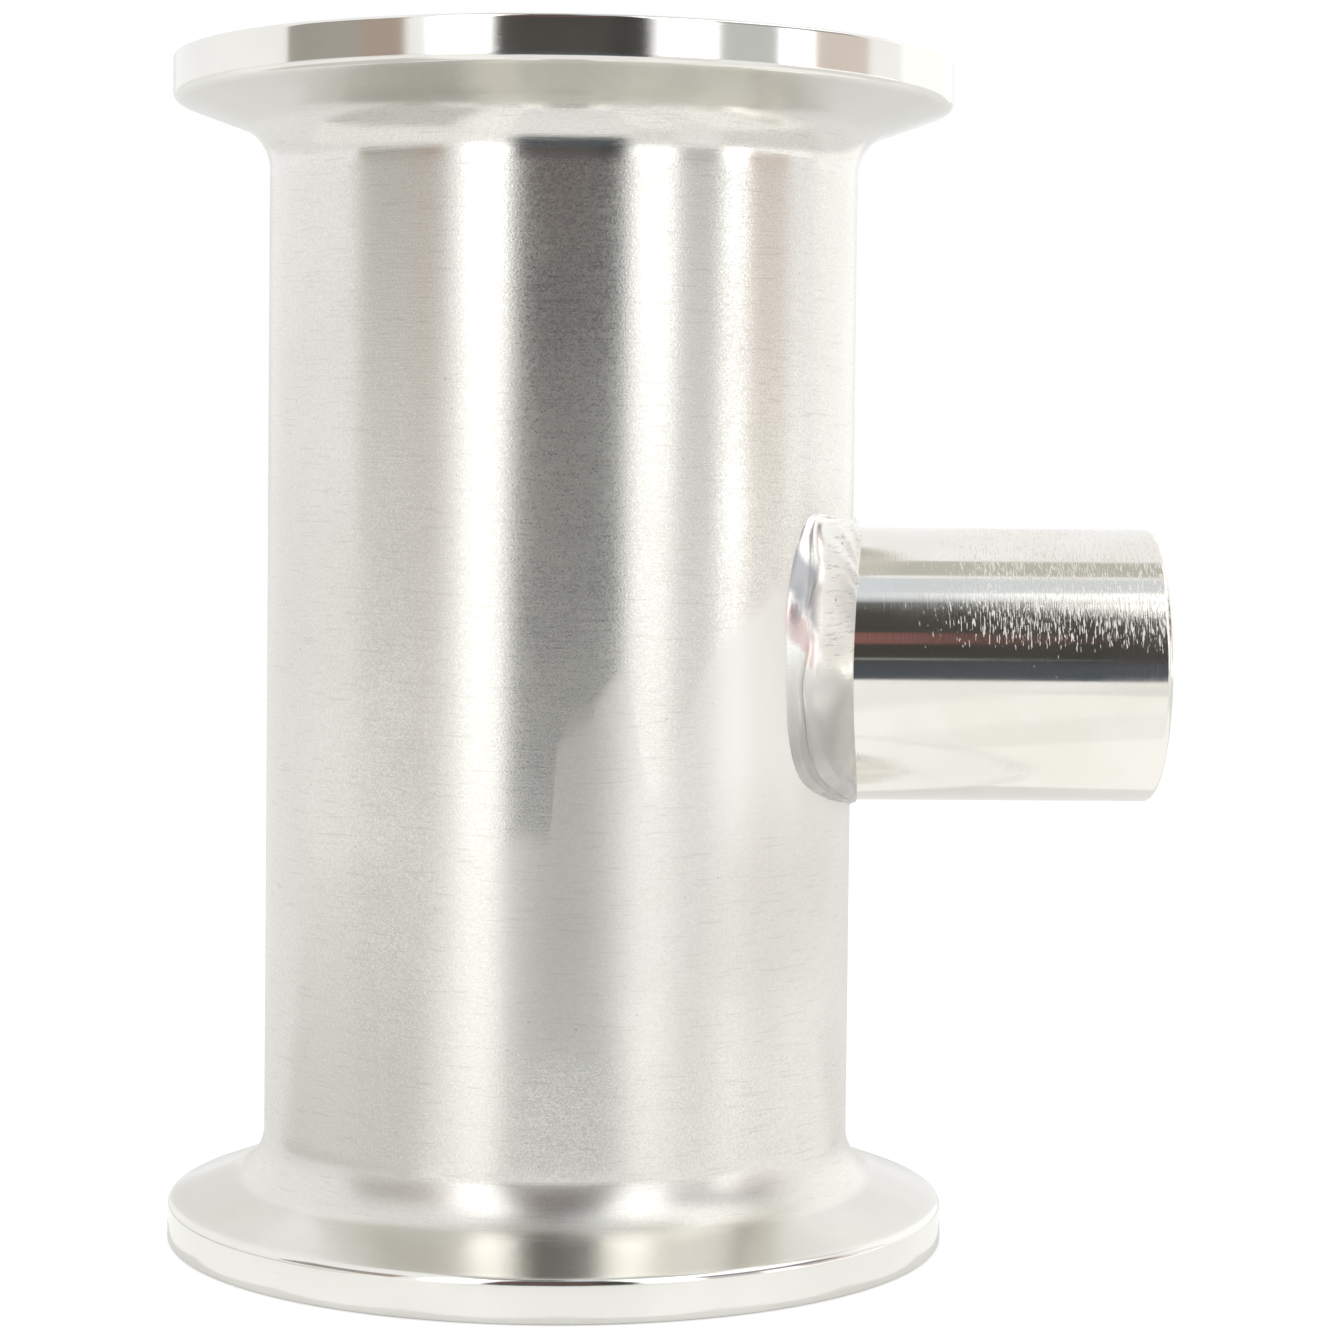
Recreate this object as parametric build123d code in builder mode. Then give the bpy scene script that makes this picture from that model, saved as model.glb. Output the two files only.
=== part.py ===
from build123d import *
import math
import os

# Sanitary clamp spool: a short length of polished stainless tube with a clamp ferrule
# butt welded to each end and a tapped boss welded to its side. Millimetres, +Z up.
# The origin is on the tube's axis, at the sealing face of the lower ferrule.
# The boss points along +X.

# Tube and overall length
spool_length = 76.2
tube_diameter = 38.1
tube_wall = 1.65

# Clamp ferrules: a grooved sealing face, a rim, a tapered back that the clamp pulls on,
# and a hollow neck that blends into the tube
ferrule_length = 12.7
rim_diameter = 50.5
rim_thickness = 2.65
clamp_angle = 20.0
back_edge_chamfer = 0.45
face_edge_chamfer = 0.2
neck_radius = 3.2
groove_diameter = 43.6
groove_radius = 2.35
groove_depth = 1.6

# Side port: a round boss, coped to sit on the tube, drilled through and tapped
port_height = 37.5
port_reach = 38.8
port_diameter = 17.9
tapped_diameter = 11.9
tapped_depth = 14.0
drilled_diameter = 10.6
drill_point_angle = 118.0
mouth_diameter = 14.2
port_edge_chamfer = 0.35

# Fillet weld round the boss, ground to facets. Seen along the boss it is a rounded block
# that stands this far out above and below it. Each flank facet rises from just under the
# tube's surface, this far round the tube from the boss, to this far up the boss. A cone
# round the boss trims the corners and ends this far beyond the tube.
weld_above = 0.85
weld_below = 0.2
weld_corner = 6.5
flank_tube_leg = 5.3
flank_boss_leg = 1.65
toe_sink = 0.1
shoulder_angle = 32.0
shoulder_reach = 0.25

tube_radius = tube_diameter / 2
bore_radius = tube_radius - tube_wall
rim_radius = rim_diameter / 2
groove_centre = groove_diameter / 2
port_radius = port_diameter / 2

# The boss's own axis, and the plane across it at the tube's axis
port_axis = Axis((0, 0, port_height), (1, 0, 0))
port_plane = Plane(origin=(0, 0, port_height), x_dir=(0, 1, 0), z_dir=(1, 0, 0))

# Lower ferrule: its half section, turned about the tube's axis
taper_rise = (rim_radius - tube_radius) * math.tan(math.radians(clamp_angle))
taper_foot = (tube_radius, rim_thickness + taper_rise)
back_corner = (rim_radius, rim_thickness)
face_corner = (rim_radius, 0)

with BuildPart() as lower_ferrule:
    with BuildSketch(Plane.XZ) as ferrule_section:
        with BuildLine():
            Polyline(
                (bore_radius, 0),
                face_corner,
                back_corner,
                taper_foot,
                (tube_radius, ferrule_length),
                (bore_radius, ferrule_length),
                close=True,
            )
        make_face()
        fillet(ferrule_section.vertices().sort_by_distance(taper_foot)[0], neck_radius)
        chamfer(ferrule_section.vertices().sort_by_distance(back_corner)[0], back_edge_chamfer)
        chamfer(ferrule_section.vertices().sort_by_distance(face_corner)[0], face_edge_chamfer)
        with Locations((groove_centre, groove_depth - groove_radius)):
            Circle(groove_radius, mode=Mode.SUBTRACT)
    revolve(axis=Axis.Z)
lower_ferrule.part.label = "lower_ferrule"

# Upper ferrule: the same turning, face up
with BuildPart() as upper_ferrule:
    mirror(lower_ferrule.part, about=Plane.XY.offset(spool_length / 2))
upper_ferrule.part.label = "upper_ferrule"

# Tube between the ferrules, drilled where the boss stands
with BuildPart() as tube:
    with BuildSketch(Plane.XY.offset(ferrule_length)):
        Circle(tube_radius)
        Circle(bore_radius, mode=Mode.SUBTRACT)
    extrude(amount=spool_length - 2 * ferrule_length)
    with BuildSketch(port_plane):
        Circle(drilled_diameter / 2)
    extrude(amount=tube_diameter, mode=Mode.SUBTRACT)
tube.part.label = "tube"

# Side port: the boss's half section turned about its own axis, then coped to the tube
mouth_depth = (mouth_diameter - tapped_diameter) / 2
drill_point = (tapped_diameter - drilled_diameter) / 2 / math.tan(math.radians(drill_point_angle / 2))

with BuildPart() as side_port:
    with BuildSketch(Plane.XZ):
        with BuildLine():
            Polyline(
                (0, port_height + drilled_diameter / 2),
                (port_reach - tapped_depth - drill_point, port_height + drilled_diameter / 2),
                (port_reach - tapped_depth, port_height + tapped_diameter / 2),
                (port_reach - mouth_depth, port_height + tapped_diameter / 2),
                (port_reach, port_height + mouth_diameter / 2),
                (port_reach, port_height + port_radius - port_edge_chamfer),
                (port_reach - port_edge_chamfer, port_height + port_radius),
                (0, port_height + port_radius),
                close=True,
            )
        make_face()
    revolve(axis=port_axis)
    with BuildSketch():
        Circle(tube_radius)
    extrude(amount=spool_length, mode=Mode.SUBTRACT)
side_port.part.label = "side_port"

# Weld: a rounded block along the boss, trimmed by the flank facets and by the shoulder
# cone, then cleared of the tube and of the boss. A facet is a line in plan, from its toe
# through the boss's flank to the boss's middle.
foot_angle = math.asin(port_radius / tube_radius)
toe_angle = foot_angle + flank_tube_leg / tube_radius
toe_station = (tube_radius - toe_sink) * math.cos(toe_angle)
toe_width = (tube_radius - toe_sink) * math.sin(toe_angle)
flank_station = tube_radius * math.cos(foot_angle) + flank_boss_leg
facet_slope = (flank_station - toe_station) / (toe_width - port_radius)
facet_top = flank_station + port_radius * facet_slope
cone_slope = math.tan(math.radians(shoulder_angle))
cone_tip = tube_radius + shoulder_reach + port_radius * cone_slope
cone_radius = cone_tip / cone_slope

with BuildPart() as port_weld:
    with BuildSketch(port_plane):
        with Locations((0, (weld_above - weld_below) / 2)):
            RectangleRounded(
                2 * toe_width + toe_sink, port_diameter + weld_above + weld_below, weld_corner
            )
    extrude(amount=port_reach)
    with BuildSketch():
        with BuildLine():
            Polyline((0, 0), (0, toe_width), (toe_station, toe_width), (facet_top, 0), close=True)
        make_face()
        mirror(about=Plane.XZ)
    extrude(amount=spool_length, mode=Mode.INTERSECT)
    with BuildSketch(Plane.XZ):
        with Locations((0, port_height)):
            Polygon((0, 0), (cone_tip, 0), (0, cone_radius), align=None)
    revolve(axis=port_axis, mode=Mode.INTERSECT)
    with BuildSketch():
        Circle(tube_radius)
    extrude(amount=spool_length, mode=Mode.SUBTRACT)
    with BuildSketch(port_plane):
        Circle(port_radius)
    extrude(amount=port_reach, mode=Mode.SUBTRACT)
port_weld.part.label = "port_weld"

os.makedirs("parts", exist_ok=True)
export_step(lower_ferrule.part, "parts/lower_ferrule.step")
export_step(upper_ferrule.part, "parts/upper_ferrule.step")
export_step(tube.part, "parts/tube.step")
export_step(side_port.part, "parts/side_port.step")
export_step(port_weld.part, "parts/port_weld.step")
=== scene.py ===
"""Looks of a clamp-end tube spool: two turned ferrules, a brushed tube, a tapped boss and its weld.

Metres, in the CAD frame: the tube stands on +Z, its lower sealing face is at z = 0,
and the boss points along +X. The camera looks along +Y.
"""

import math

import bpy
from mathutils import Matrix, Vector, noise


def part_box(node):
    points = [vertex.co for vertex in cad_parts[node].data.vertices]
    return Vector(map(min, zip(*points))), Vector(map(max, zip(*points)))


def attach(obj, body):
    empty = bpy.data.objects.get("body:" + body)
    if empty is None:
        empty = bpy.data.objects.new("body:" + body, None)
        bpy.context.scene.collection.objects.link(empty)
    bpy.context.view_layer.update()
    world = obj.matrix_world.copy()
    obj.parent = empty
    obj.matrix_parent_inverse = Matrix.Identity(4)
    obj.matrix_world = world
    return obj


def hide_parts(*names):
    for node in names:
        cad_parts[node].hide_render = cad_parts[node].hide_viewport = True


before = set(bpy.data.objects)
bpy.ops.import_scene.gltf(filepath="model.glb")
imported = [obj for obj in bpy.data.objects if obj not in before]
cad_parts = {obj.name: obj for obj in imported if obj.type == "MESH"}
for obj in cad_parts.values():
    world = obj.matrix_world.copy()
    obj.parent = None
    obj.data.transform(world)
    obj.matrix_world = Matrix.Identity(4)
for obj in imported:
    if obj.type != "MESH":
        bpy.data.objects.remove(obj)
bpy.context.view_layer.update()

MM = 0.001

# Sizes read off the CAD nodes
tube_low, tube_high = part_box("tube")
port_low, port_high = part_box("side_port")
SPOOL_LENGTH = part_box("upper_ferrule")[1].z
RIM_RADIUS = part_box("lower_ferrule")[1].y
TUBE_RADIUS = tube_high.y
SEAM_LOW = tube_low.z
SEAM_HIGH = tube_high.z
PORT_REACH = port_high.x
PORT_RADIUS = (port_high.y - port_low.y) / 2
PORT_HEIGHT = (port_high.z + port_low.z) / 2

# Sizes that no box shows, as the CAD source has them
TUBE_WALL = 1.65 * MM
BORE_RADIUS = TUBE_RADIUS - TUBE_WALL
RIM_THICKNESS = 2.65 * MM
CLAMP_ANGLE = math.radians(20)
NECK_RADIUS = 3.2 * MM
GROOVE_CENTRE = 21.8 * MM
GROOVE_RADIUS = 2.35 * MM
GROOVE_DEPTH = 1.6 * MM
TAPPED_RADIUS = 5.95 * MM
TAPPED_DEPTH = 14.0 * MM
DRILLED_RADIUS = 5.3 * MM
DRILL_SLOPE = 0.39 * MM
MOUTH_RADIUS = 7.1 * MM

# Rounds that break the edges, each with loops close beside it to keep the flats flat
BORE_EDGE = 0.15 * MM
GROOVE_EDGE = 0.1 * MM
FACE_EDGE = 0.22 * MM
BACK_EDGE = 0.5 * MM
MOUTH_EDGE = 0.08 * MM
PORT_EDGE = 0.4 * MM
EDGE_GUARD = 0.04 * MM

# How finely the turned shapes are divided
ROUND_STEPS = 6
NECK_STEPS = 18
GROOVE_STEPS = 22
TUBE_LOOPS = 8
PORT_LOOPS = 12
MOUTH_LOOPS = 10
DRILL_SEGMENTS = 96
LATHE_SEGMENTS = 288
PORT_SEGMENTS = 224
SHARP_CORNER = math.radians(40)
MERGE_DISTANCE = 0.0005 * MM

# Thread in the boss. Its flank rises between two shares of half a pitch.
THREAD_PITCH = 1.411 * MM
THREAD_DEPTH = 0.78 * MM
THREAD_RUN_OUT = 2.2 * MM
THREAD_STATION = 0.11 * MM
THREAD_FLANK = (0.06, 0.44)

# The boss's own stations are drawn towards the tube over this length, to sit on it
COPE_LENGTH = 8.0 * MM
COPE_FOOT = math.sqrt(TUBE_RADIUS ** 2 - PORT_RADIUS ** 2)


# Small helpers for node trees


def node(kind, inputs=None, tree=None, **settings):
    """Adds a node, sets its properties, and links or sets its inputs by name or number.

    With no tree given, the node goes where its first linked input comes from."""
    inputs = inputs or {}
    if tree is None:
        tree = next(value.id_data for value in inputs.values() if isinstance(value, bpy.types.NodeSocket))
    made = tree.nodes.new(kind)
    for key, value in settings.items():
        setattr(made, key, value)
    for key, value in inputs.items():
        if isinstance(value, bpy.types.NodeSocket):
            tree.links.new(value, made.inputs[key])
        else:
            made.inputs[key].default_value = value
    return made


def calc(operation, a, b=0.0, c=0.0, clamp=False):
    """A Math node's result."""
    return node("ShaderNodeMath", {0: a, 1: b, 2: c}, operation=operation, use_clamp=clamp).outputs[0]


def times(first, *factors):
    """Multiplies numbers, from left to right."""
    for factor in factors:
        first = calc("MULTIPLY", first, factor)
    return first


def times_plus(a, b, c):
    """a times b, plus c."""
    return calc("MULTIPLY_ADD", a, b, c)


def plus(a, b):
    """a plus b."""
    return calc("ADD", a, b)


def minus(a, b):
    """a minus b."""
    return calc("SUBTRACT", a, b)


def over(a, b):
    """a divided by b."""
    return calc("DIVIDE", a, b)


def split_vector(vector):
    """The x, y and z of a vector."""
    return node("ShaderNodeSeparateXYZ", {0: vector}).outputs[:]


def join_vector(x, y, z):
    """A vector from its x, y and z."""
    return node("ShaderNodeCombineXYZ", {0: x, 1: y, 2: z}).outputs[0]


def mix_value(factor, first, second):
    """Mixes two numbers."""
    return node("ShaderNodeMix", {0: factor, 2: first, 3: second}, data_type="FLOAT").outputs[0]


def mix_colour(factor, first, second):
    """Mixes two colours, each a socket or three numbers."""
    first, second = (
        value if isinstance(value, bpy.types.NodeSocket) else (*value, 1.0) for value in (first, second)
    )
    return node("ShaderNodeMix", {0: factor, 6: first, 7: second}, data_type="RGBA").outputs[2]


def ramp_value(value, start, end, low=0.0, high=1.0, kind="LINEAR"):
    """low before start, high after end, and a ramp between."""
    ends = {"Value": value, "From Min": start, "From Max": end, "To Min": low, "To Max": high}
    return node("ShaderNodeMapRange", ends, interpolation_type=kind).outputs[0]


def smooth_mask(value, low, high):
    """0 below low, 1 above high, and a smooth step between."""
    return ramp_value(value, low, high, kind="SMOOTHSTEP")


def between(value, low, high, soft):
    """1 between two values, with soft ends."""
    above = smooth_mask(value, low - soft, low + soft)
    return times(above, smooth_mask(value, high + soft, high - soft))


def noise_4d(place, w, scale, detail, rough):
    """Noise that changes with a place and one more number."""
    values = {"Vector": place, "W": w, "Scale": scale, "Detail": detail, "Roughness": rough}
    return node("ShaderNodeTexNoise", values, noise_dimensions="4D").outputs[0]


def cell_pattern(place, scale):
    """Cells scattered in space: the distance from their middles, and one random value for each."""
    cells = node("ShaderNodeTexVoronoi", {"Vector": place, "Scale": scale})
    chosen = node("ShaderNodeSeparateColor", {0: cells.outputs["Color"]}).outputs[0]
    return cells.outputs["Distance"], chosen


NUMBER_SOCKETS = {float: "Float", int: "Int"}


def new_tree(name, inputs, outputs, kind="ShaderNodeTree"):
    """Makes a node group. Returns it, and the sockets of its inputs and outputs.

    A socket is given by its type, or by a number that it starts from."""
    tree = bpy.data.node_groups.new(name, kind)
    for in_out, sockets in (("INPUT", inputs), ("OUTPUT", outputs)):
        for title, given in sockets.items():
            of_type = NUMBER_SOCKETS.get(type(given), given)
            made = tree.interface.new_socket(name=title, in_out=in_out, socket_type="NodeSocket" + of_type)
            if of_type != given:
                made.default_value = given
    return tree, tree.nodes.new("NodeGroupInput").outputs, tree.nodes.new("NodeGroupOutput").inputs


# Shader groups that the finishes share


def brushing_group():
    """Fine lines and short grain that run round an axis. The vector has that axis as its Z."""
    tree, given, out = new_tree(
        "brushing_round_axis",
        {"Vector": "Vector", "Spacing": 0.1 * MM, "Length": 6 * MM, "Density": 0.2},
        {"Height": "Float", "Lines": "Float"},
    )
    length, spacing = given["Length"], given["Spacing"]
    x, y, z = split_vector(given["Vector"])
    across = calc("SQRT", plus(times(x, x), times(y, y)))
    radius = over(across, spacing)
    place = join_vector(over(x, length), over(y, length), over(z, spacing))
    fine = noise_4d(place, radius, scale=1.0, detail=3.0, rough=0.62)
    stretch, shift, thinner = (1.3, 1.3, 0.7), (17.0, 5.0, 3.0), 0.7
    apart = node("ShaderNodeVectorMath", {0: place, 1: stretch, 2: shift}, operation="MULTIPLY_ADD")
    drawn = noise_4d(apart.outputs[0], times(radius, thinner), scale=1.0, detail=2.0, rough=0.5)
    sparse, dense, soft = 0.78, 0.46, 0.05
    edge = mix_value(given["Density"], sparse, dense)
    tree.links.new(fine, out["Height"])
    tree.links.new(smooth_mask(drawn, edge, plus(edge, soft)), out["Lines"])
    return tree


def speckle_group():
    """A random value for each small cell, as the grit of a fine abrasive leaves it."""
    tree, given, out = new_tree("abrasive_speckle", {"Vector": "Vector", "Size": 0.1 * MM}, {"Mask": "Float"})
    tree.links.new(cell_pattern(given["Vector"], over(1.0, given["Size"]))[1], out["Mask"])
    return tree


def cloud_group():
    """Soft uneven patches, as handling and polishing leave them."""
    tree, given, out = new_tree(
        "soft_patches", {"Vector": "Vector", "Size": 12 * MM, "Seed": 0.0}, {"Mask": "Float"},
    )
    dull, clear = 0.36, 0.66
    scale = over(1.0, given["Size"])
    patches = noise_4d(given["Vector"], given["Seed"], scale, detail=3.0, rough=0.5)
    tree.links.new(smooth_mask(patches, dull, clear), out["Mask"])
    return tree


def speck_group():
    """Small scattered pits and specks."""
    tree, given, out = new_tree(
        "scattered_specks", {"Vector": "Vector", "Size": 0.2 * MM, "Share": 0.05}, {"Mask": "Float"},
    )
    middle, edge, size_in_cell = 0.09, 0.24, 0.22
    distance, chosen = cell_pattern(given["Vector"], over(size_in_cell, given["Size"]))
    has_speck = calc("LESS_THAN", chosen, given["Share"])
    near = minus(1.0, smooth_mask(distance, middle, edge))
    tree.links.new(times(has_speck, near), out["Mask"])
    return tree


BRUSHING = brushing_group()
CLOUDS = cloud_group()
SPECKS = speck_group()
SPECKLE = speckle_group()


def group(source, **inputs):
    """Places a shader group, with its inputs by name, and returns its outputs."""
    return node("ShaderNodeGroup", inputs, node_tree=source).outputs


# Finishes

# Colours of the steel, as pairs that soft patches mix
TUBE_STEEL = ((0.80, 0.788, 0.75), (0.835, 0.823, 0.79))
RIM_STEEL = ((0.83, 0.82, 0.785), (0.87, 0.86, 0.825))
TAPER_STEEL = ((0.755, 0.74, 0.69), (0.80, 0.785, 0.74))
PORT_STEEL = ((0.84, 0.82, 0.77), (0.875, 0.86, 0.82))
# The low weld colour is painted shade: it darkens the weld's lower part
WELD_PAINTED_SHADE_STEEL = ((0.46, 0.455, 0.44), (0.54, 0.535, 0.515))
WELD_HIGH_STEEL = ((0.90, 0.895, 0.87), (0.95, 0.94, 0.915))

# Colours of the marks on it
BRUSHED_LINE = (0.64, 0.62, 0.585)
TURNED_LINE = (0.64, 0.62, 0.58)
SPECKLED = (0.63, 0.615, 0.57)
TUBE_PIT = (0.34, 0.31, 0.28)
SANDED_PALE = (0.96, 0.95, 0.925)
HEAT_PINK = (0.72, 0.50, 0.50)
# The lilac-grey is painted shade: the dark band on the toe bead's lower facet, with a faint lilac cast
LILAC_PAINTED_SHADE = (0.34, 0.34, 0.37)
WELD_STREAK = (0.46, 0.42, 0.36)
WELD_PIT = (0.34, 0.30, 0.27)

# Roughness, as pairs that soft patches mix, and where one patch has one value
TUBE_ROUGH = (0.26, 0.21)
POLISH_ROUGH = (0.13, 0.09)
PORT_ROUGH = (0.11, 0.08)
WELD_ROUGH = (0.27, 0.20)
RIM_ROUGH = 0.10
SANDED_TUBE_ROUGH = 0.45
SANDED_WELD_ROUGH = 0.50
# Roughness inside the lilac-grey painted shade band on the toe bead
LILAC_SHADE_ROUGH = 0.36
SPECKLE_ROUGH = 0.09

# How strongly marks tint the steel, and how much rougher lines and specks make it
LINE_TINT = 0.42
SPECKLE_TINT = 0.42
TUBE_PIT_TINT = 0.5
TURNED_TINT = 0.30
PINK_STRENGTH = 0.6
# How strongly the lilac-grey painted shade darkens the toe bead
LILAC_SHADE_STRENGTH = 0.8
STREAK_TINT = 0.5
LINE_ROUGH = 0.08
TURNED_ROUGH = 0.04

# How deep the relief is, and how much of it long lines and short grain give
BRUSHED_RELIEF = 0.012 * MM
PORT_RELIEF = 0.009 * MM
WELD_RELIEF = 0.016 * MM
LINE_SHARE = 0.40
GRAIN_SHARE = 0.55
SANDED_GRAIN = 0.5
RIM_AND_TAPER_SHARES = (0.2, 0.5)
PORT_LINE_SHARE = 0.35
WELD_SHARES = (0.35, 1.6)

# How far highlights are stretched across the brushing
BRUSHED_STRETCH = 0.80
PORT_STRETCH = 0.25
ACROSS_LINES = 0.25

# Where a ferrule's parts start and end, in distance from its sealing face
BACK_STARTS = (RIM_THICKNESS - 0.05 * MM, RIM_THICKNESS + 0.3 * MM)
FILLET_STARTS = (4.0 * MM, 4.8 * MM)
FILLET_ENDS = (6.4 * MM, 7.4 * MM)
NECK_STARTS = (6.6 * MM, 8.2 * MM)

# The tube was sanded again round the weld. The patch's upper edge by angle round the tube
# (degrees from the camera side, towards the boss) and height in millimetres, the scale and
# width of its wander, its soft edge, where it fades out below, and its two sides.
SANDED_EDGE = (
    (-14, 24.0), (-10, 27.6), (-3, 28.0), (-1, 33.5), (5, 35.5), (10, 37.5), (17, 31.5),
    (26, 38.0), (60, 46.0),
)
SANDED_EDGE_TOP = 100
SANDED_WANDER = (260.0, 4.0 * MM)
SANDED_SOFT = (-0.8 * MM, 1.6 * MM)
SANDED_FOOT = (12.8 * MM, 20.0 * MM)
SANDED_LEFT = (math.radians(-14), math.radians(-5))
SANDED_RIGHT = (math.radians(96), math.radians(70))
# It is pale close to the weld: above this height, and this far towards the boss
PALE_ABOVE = (24 * MM, 34 * MM)
PALE_PAST = (7 * MM, 11 * MM)
PALE_SHARES = (0.10, 0.95)

# Scratches on the boss: where they thicken along it, how dense they get, where its upper
# side starts, and the share of them that is left below
SCRATCHES_ALONG = (20.5 * MM, 27 * MM)
SCRATCH_DENSITY = (0.05, 0.72)
SCRATCHED_ABOVE = (0.4 * MM, 2.8 * MM)
SCRATCHES_BELOW = 0.22
SCRATCH_DEPTH = -0.9
SCRATCH_ROUGH = 0.36

# Zones of the weld: x where its sanded side and its toe bead start, heights of the sanding
# and of the change from the low colour, painted shade on the weld's lower part, to the high colour,
# the lines that show as streaks, and the pink heat tint and the lilac-grey painted shade by slanting height
WELD_SANDED_PAST = (15.9 * MM, 16.6 * MM)
WELD_BEAD_BEFORE = (16.1 * MM, 15.3 * MM)
WELD_SANDED_ABOVE = (37.4 * MM, 39.2 * MM)
WELD_SHADE_FADES_ABOVE = (32 * MM, 41 * MM)
TINT_SLANT = 1.25
TINT_WANDER = 1.2 * MM
WELD_STREAKS = (0.54, 0.66)
PINK_TINT = (57.9 * MM, 60.0 * MM, 0.45 * MM)
LILAC_SHADE_BAND = (60.5 * MM, 64.2 * MM, 0.6 * MM)


def blank_material(name):
    """A material with only a Principled shader in it. Returns the material, tree and shader."""
    material = bpy.data.materials.new(name)
    material.use_nodes = True
    tree = material.node_tree
    shader = tree.nodes["Principled BSDF"]
    shader.inputs["Metallic"].default_value = 1.0
    return material, tree, shader


def object_vector(tree):
    """Object coordinates. The tube's axis is already their Z."""
    return node("ShaderNodeTexCoord", tree=tree).outputs["Object"]


def finish_steel(tree, shader, colour, rough, height, relief):
    """Links colour, roughness and relief to a shader."""
    bump = node("ShaderNodeBump", {"Height": height, "Distance": relief, "Strength": 1.0})
    for name, value in (("Base Color", colour), ("Roughness", rough), ("Normal", bump.outputs[0])):
        tree.links.new(value, shader.inputs[name])


def stretch_highlights(tree, shader, axis, amount):
    """Stretches highlights across lines that run round an axis."""
    tangent = node("ShaderNodeTangent", tree=tree, direction_type="RADIAL", axis=axis)
    shader.inputs["Anisotropic"].default_value = amount
    shader.inputs["Anisotropic Rotation"].default_value = ACROSS_LINES
    tree.links.new(tangent.outputs[0], shader.inputs["Tangent"])


def sanded_patch(place):
    """1 where the tube was sanded matt round the weld."""
    x, y, height = split_vector(place)
    angle = calc("ARCTAN2", x, times(y, -1.0))
    first, last = SANDED_EDGE[0][0], SANDED_EDGE[-1][0]
    share = ramp_value(angle, math.radians(first), math.radians(last))
    edge = node("ShaderNodeFloatCurve", {"Value": share})
    spots = [((turn - first) / (last - first), level / SANDED_EDGE_TOP) for turn, level in SANDED_EDGE]
    points = edge.mapping.curves[0].points
    for spot in spots[2:]:
        points.new(*spot)
    for point, spot in zip(points, spots):
        point.location = spot
        point.handle_type = "AUTO_CLAMPED"
    edge.mapping.update()
    scale, width = SANDED_WANDER
    uneven = node("ShaderNodeTexNoise", {"Vector": place, "Scale": scale, "Detail": 3.0}).outputs[0]
    wander = times(minus(uneven, 0.5), width)
    line = plus(times(edge.outputs[0], SANDED_EDGE_TOP * MM), wander)
    under = smooth_mask(minus(line, height), *SANDED_SOFT)
    above_foot = smooth_mask(height, *SANDED_FOOT)
    from_left = smooth_mask(angle, *SANDED_LEFT)
    to_right = smooth_mask(angle, *SANDED_RIGHT)
    return times(under, above_foot, times(from_left, to_right))


def brushed_layer(place):
    """Colour, roughness and relief of steel brushed round the tube."""
    lines = group(BRUSHING, Vector=place, Spacing=0.11 * MM, Length=3.0 * MM, Density=0.55)
    grain = group(BRUSHING, Vector=place, Spacing=0.11 * MM, Length=0.14 * MM, Density=0.2)
    speckle = group(SPECKLE, Vector=place, Size=0.10 * MM)[0]
    patches = group(CLOUDS, Vector=place, Size=11 * MM, Seed=3.0)[0]
    colour = mix_colour(patches, *TUBE_STEEL)
    colour = mix_colour(times(lines["Lines"], LINE_TINT), colour, BRUSHED_LINE)
    colour = mix_colour(times(speckle, SPECKLE_TINT), colour, SPECKLED)
    rough = times_plus(lines["Height"], LINE_ROUGH, mix_value(patches, *TUBE_ROUGH))
    rough = times_plus(speckle, SPECKLE_ROUGH, minus(rough, SPECKLE_ROUGH / 2))
    return colour, rough, times(lines["Height"], LINE_SHARE), grain["Height"]


def brushed_tube_finish():
    """Satin steel brushed round the tube, with a matt patch sanded round the weld."""
    material, tree, shader = blank_material("brushed_tube_steel")
    place = object_vector(tree)
    x, _, height = split_vector(place)
    colour, rough, lines, grain = brushed_layer(place)
    sanded = sanded_patch(place)
    specks = group(SPECKS, Vector=place, Size=0.09 * MM, Share=0.012)[0]
    colour = mix_colour(times(specks, TUBE_PIT_TINT), colour, TUBE_PIT)
    by_weld = times(smooth_mask(height, *PALE_ABOVE), smooth_mask(x, *PALE_PAST))
    pale = times(sanded, mix_value(by_weld, *PALE_SHARES))
    colour = mix_colour(pale, colour, SANDED_PALE)
    rough = mix_value(sanded, rough, SANDED_TUBE_ROUGH)
    relief = times_plus(grain, mix_value(sanded, GRAIN_SHARE, SANDED_GRAIN), lines)
    finish_steel(tree, shader, colour, rough, relief, BRUSHED_RELIEF)
    stretch_highlights(tree, shader, "Z", BRUSHED_STRETCH)
    return material


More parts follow.
